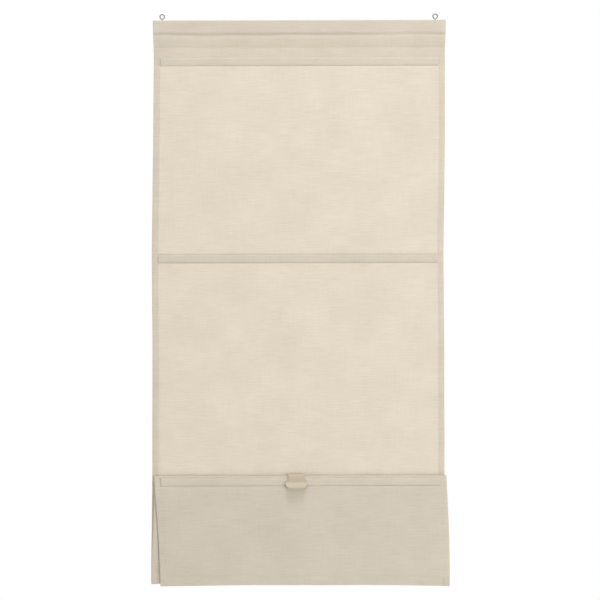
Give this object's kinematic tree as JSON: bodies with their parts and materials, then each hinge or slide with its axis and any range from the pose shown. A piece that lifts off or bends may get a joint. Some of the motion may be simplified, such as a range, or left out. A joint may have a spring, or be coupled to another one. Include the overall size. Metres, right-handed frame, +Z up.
{
  "type": "roman blind",
  "caption": "Cordless roman blind of plain woven cloth, hung by screw eyes on a header batten, with flat slats in sewn pockets and its lower part raised in a fold held by a clip.",
  "frame": {"origin": "midway between the centres of the rings of the screw eyes that the blind hangs by", "axes": "+X across the blind to the viewer's right, +Y towards the wall behind, +Z up; the face of the blind looks along -Y"},
  "size_m": [0.6, 0.0299, 1.1732],
  "materials": {
    "cloth": "plain weave in a natural beige yarn",
    "tape": "narrow woven tape",
    "batten_wood": "planed pine, unvarnished",
    "slat_wood": "smooth pale wood",
    "eye_steel": "zinc-plated wire",
    "clip_plastic": "moulded, fine satin"
  },
  "bodies": {
    "root": {"blind_cloth": "cloth", "header_batten": "batten_wood", "screw_eye_left": "eye_steel", "screw_eye_right": "eye_steel", "slat_1": "slat_wood", "slat_2": "slat_wood", "slat_3": "slat_wood", "slat_4": "slat_wood", "pocket_tape_2": "tape", "pocket_tape_3": "tape", "pocket_tape_4": "tape", "fold_clip": "clip_plastic"}
  },
  "joints": []
}
